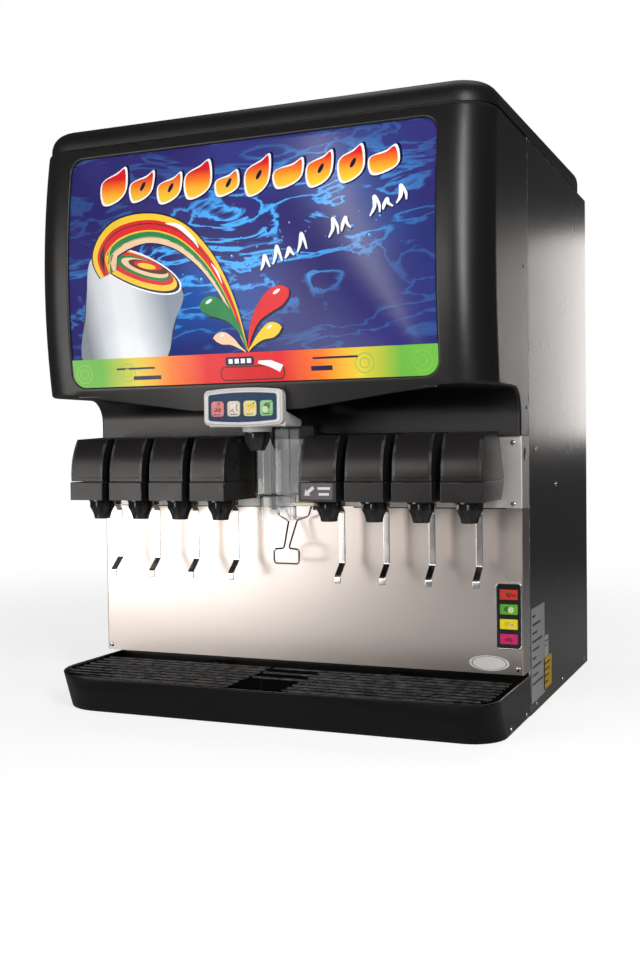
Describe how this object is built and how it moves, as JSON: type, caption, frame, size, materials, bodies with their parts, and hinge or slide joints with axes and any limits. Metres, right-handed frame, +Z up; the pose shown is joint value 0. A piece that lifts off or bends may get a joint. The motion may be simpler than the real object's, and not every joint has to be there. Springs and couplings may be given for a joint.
{
  "type": "fountain soda dispenser",
  "caption": "Countertop ice and drink dispenser: lighted hood over a stainless front, push-lever valves, ice chute, flavour head, drip tray with racks.",
  "frame": {"origin": "middle of the footprint at the underside", "axes": "+X along the front to the viewer's right, +Y from the front to the rear, +Z up"},
  "size_m": [0.7658, 0.7816, 0.966],
  "materials": {
    "side_steel": "satin dark brown-black powder coat over sheet steel",
    "frame_steel": "galvanised sheet",
    "front_stainless": "vertical-grain brushed stainless, warm",
    "hood_plastic": "fine-grained black moulding",
    "duct_plastic": "smooth black moulding",
    "graphic_film": "printed translucent sheet",
    "reflector_white": "white enamel",
    "lamp_glass": "frosted tube",
    "bin_liner": "food-grade white liner",
    "foam": "foamed-in-place insulation",
    "cold_plate_aluminium": "cast",
    "agitator_steel": "stainless bar",
    "bushing_nylon": "natural nylon",
    "motor_enamel": "grey enamel",
    "chute_clear": "clear moulded polycarbonate",
    "gate_steel": "stainless sheet",
    "wire_chrome": "polished bent wire",
    "valve_body_grey": "moulded valve block",
    "nozzle_black": "glossy black nozzle",
    "tab_cream": "cream moulded tab",
    "head_silver": "silver-grey moulding",
    "head_blue": "printed blue overlay",
    "selector_black": "glossy black bezel",
    "cover_grey": "satin charcoal cover",
    "lever_steel": "polished stainless strip",
    "flavor_key_1": "printed membrane key",
    "flavor_key_2": "printed membrane key",
    "flavor_key_3": "printed membrane key",
    "flavor_key_4": "printed membrane key",
    "select_key_1": "printed glossy key",
    "select_key_2": "printed glossy key",
    "select_key_3": "printed glossy key",
    "select_key_4": "printed glossy key",
    "tray_black": "satin black moulding",
    "drain_grey": "moulded barb",
    "rack_coated": "black coated wire",
    "screw_steel": "plated",
    "fitting_brass": "machined",
    "box_steel": "grey enamel",
    "gland_rubber": "moulded"
  },
  "bodies": {
    "cabinet": {"side_panel_left": "side_steel", "side_panel_right": "side_steel", "rear_panel": "side_steel", "base_frame": "frame_steel", "splash_panel": "front_stainless", "valve_plate": "front_stainless", "hood": "hood_plastic", "ice_duct": "duct_plastic", "graphic_panel": "graphic_film", "light_reflector": "reflector_white", "lamp_tubes": "lamp_glass", "ice_bin": "bin_liner", "bin_insulation": "foam", "cold_plate": "cold_plate_aluminium", "agitator_bushings": "bushing_nylon", "gearmotor": "motor_enamel", "ice_chute": "chute_clear", "valve_bodies": "valve_body_grey", "valve_nozzles": "nozzle_black", "flavor_nozzle": "nozzle_black", "flavor_housing": "head_silver", "flavor_panel": "head_blue", "select_panel": "selector_black", "valve_cover_1": "cover_grey", "valve_cover_2": "cover_grey", "valve_cover_3": "cover_grey", "valve_cover_4": "cover_grey", "valve_cover_5": "cover_grey", "valve_cover_6": "cover_grey", "valve_cover_7": "cover_grey", "valve_cover_8": "cover_grey", "drip_tray": "tray_black", "drain_fitting": "drain_grey", "panel_screws": "screw_steel", "inlet_fittings": "fitting_brass", "control_box": "box_steel", "cord_gland": "gland_rubber"},
    "lid": {"hopper_lid": "hood_plastic"},
    "rack_l": {"rack_left": "rack_coated"},
    "rack_r": {"rack_right": "rack_coated"},
    "agitator_rotor": {"agitator": "agitator_steel"},
    "ice_trigger": {"ice_lever": "wire_chrome"},
    "gate": {"ice_gate": "gate_steel"},
    "water_tab": {"water_lever": "tab_cream"},
    "lever_1": {"valve_lever_1": "lever_steel"},
    "lever_2": {"valve_lever_2": "lever_steel"},
    "lever_3": {"valve_lever_3": "lever_steel"},
    "lever_4": {"valve_lever_4": "lever_steel"},
    "lever_5": {"valve_lever_5": "lever_steel"},
    "lever_6": {"valve_lever_6": "lever_steel"},
    "lever_7": {"valve_lever_7": "lever_steel"},
    "lever_8": {"valve_lever_8": "lever_steel"},
    "flavor_key_1": {"flavor_button_1": "flavor_key_1"},
    "select_key_1": {"select_button_1": "select_key_1"},
    "flavor_key_2": {"flavor_button_2": "flavor_key_2"},
    "select_key_2": {"select_button_2": "select_key_2"},
    "flavor_key_3": {"flavor_button_3": "flavor_key_3"},
    "select_key_3": {"select_button_3": "select_key_3"},
    "flavor_key_4": {"flavor_button_4": "flavor_key_4"},
    "select_key_4": {"select_button_4": "select_key_4"}
  },
  "joints": [
    {"name": "lid_lift", "type": "slide", "parent": "cabinet", "child": "lid", "axis": [0, 0, 1], "range_m": [0, 0.16]},
    {"name": "rack_left_lift", "type": "slide", "parent": "cabinet", "child": "rack_l", "axis": [0, 0, 1], "range_m": [0, 0.05]},
    {"name": "rack_right_lift", "type": "slide", "parent": "cabinet", "child": "rack_r", "axis": [0, 0, 1], "range_m": [0, 0.05]},
    {"name": "agitator_spin", "type": "hinge", "parent": "cabinet", "child": "agitator_rotor", "pos_m": [0, 0.1288, 0.68], "axis": [0, 1, 0], "continuous": true},
    {"name": "ice_lever_push", "type": "hinge", "parent": "cabinet", "child": "ice_trigger", "pos_m": [0, -0.1952, 0.338], "axis": [1, 0, 0], "range_deg": [0, 14], "stiffness_Nm_per_rad": 0.6, "springref_deg": -6.88},
    {"name": "gate_rise", "type": "slide", "parent": "cabinet", "child": "gate", "axis": [0, 0, 1], "range_m": [0, 0.046]},
    {"name": "water_tab_push", "type": "hinge", "parent": "cabinet", "child": "water_tab", "pos_m": [0.084, -0.3132, 0.347], "axis": [0, -1, 0], "range_deg": [0, 9], "stiffness_Nm_per_rad": 0.25, "springref_deg": -5.73},
    {"name": "valve_lever_1_push", "type": "hinge", "parent": "cabinet", "child": "lever_1", "pos_m": [-0.3231, -0.2402, 0.346], "axis": [1, 0, 0], "range_deg": [0, 12], "stiffness_Nm_per_rad": 0.8, "springref_deg": -6.88},
    {"name": "valve_lever_2_push", "type": "hinge", "parent": "cabinet", "child": "lever_2", "pos_m": [-0.2473, -0.2402, 0.346], "axis": [1, 0, 0], "range_deg": [0, 12], "stiffness_Nm_per_rad": 0.8, "springref_deg": -6.88},
    {"name": "valve_lever_3_push", "type": "hinge", "parent": "cabinet", "child": "lever_3", "pos_m": [-0.1715, -0.2402, 0.346], "axis": [1, 0, 0], "range_deg": [0, 12], "stiffness_Nm_per_rad": 0.8, "springref_deg": -6.88},
    {"name": "valve_lever_4_push", "type": "hinge", "parent": "cabinet", "child": "lever_4", "pos_m": [-0.0957, -0.2402, 0.346], "axis": [1, 0, 0], "range_deg": [0, 12], "stiffness_Nm_per_rad": 0.8, "springref_deg": -6.88},
    {"name": "valve_lever_5_push", "type": "hinge", "parent": "cabinet", "child": "lever_5", "pos_m": [0.0957, -0.2402, 0.346], "axis": [1, 0, 0], "range_deg": [0, 12], "stiffness_Nm_per_rad": 0.8, "springref_deg": -6.88},
    {"name": "valve_lever_6_push", "type": "hinge", "parent": "cabinet", "child": "lever_6", "pos_m": [0.1715, -0.2402, 0.346], "axis": [1, 0, 0], "range_deg": [0, 12], "stiffness_Nm_per_rad": 0.8, "springref_deg": -6.88},
    {"name": "valve_lever_7_push", "type": "hinge", "parent": "cabinet", "child": "lever_7", "pos_m": [0.2473, -0.2402, 0.346], "axis": [1, 0, 0], "range_deg": [0, 12], "stiffness_Nm_per_rad": 0.8, "springref_deg": -6.88},
    {"name": "valve_lever_8_push", "type": "hinge", "parent": "cabinet", "child": "lever_8", "pos_m": [0.3231, -0.2402, 0.346], "axis": [1, 0, 0], "range_deg": [0, 12], "stiffness_Nm_per_rad": 0.8, "springref_deg": -6.88},
    {"name": "flavor_key_1_press", "type": "slide", "parent": "cabinet", "child": "flavor_key_1", "axis": [0, 1, 0], "range_m": [0, 0.0018], "stiffness_N_per_m": 900},
    {"name": "select_key_1_press", "type": "slide", "parent": "cabinet", "child": "select_key_1", "axis": [0, 1, 0], "range_m": [0, 0.0012], "stiffness_N_per_m": 900},
    {"name": "flavor_key_2_press", "type": "slide", "parent": "cabinet", "child": "flavor_key_2", "axis": [0, 1, 0], "range_m": [0, 0.0018], "stiffness_N_per_m": 900},
    {"name": "select_key_2_press", "type": "slide", "parent": "cabinet", "child": "select_key_2", "axis": [0, 1, 0], "range_m": [0, 0.0012], "stiffness_N_per_m": 900},
    {"name": "flavor_key_3_press", "type": "slide", "parent": "cabinet", "child": "flavor_key_3", "axis": [0, 1, 0], "range_m": [0, 0.0018], "stiffness_N_per_m": 900},
    {"name": "select_key_3_press", "type": "slide", "parent": "cabinet", "child": "select_key_3", "axis": [0, 1, 0], "range_m": [0, 0.0012], "stiffness_N_per_m": 900},
    {"name": "flavor_key_4_press", "type": "slide", "parent": "cabinet", "child": "flavor_key_4", "axis": [0, 1, 0], "range_m": [0, 0.0018], "stiffness_N_per_m": 900},
    {"name": "select_key_4_press", "type": "slide", "parent": "cabinet", "child": "select_key_4", "axis": [0, 1, 0], "range_m": [0, 0.0012], "stiffness_N_per_m": 900}
  ],
  "couplings": [
    {"joint": "gate_rise", "follows": "ice_lever_push", "m_per_rad": 0.18294}
  ]
}
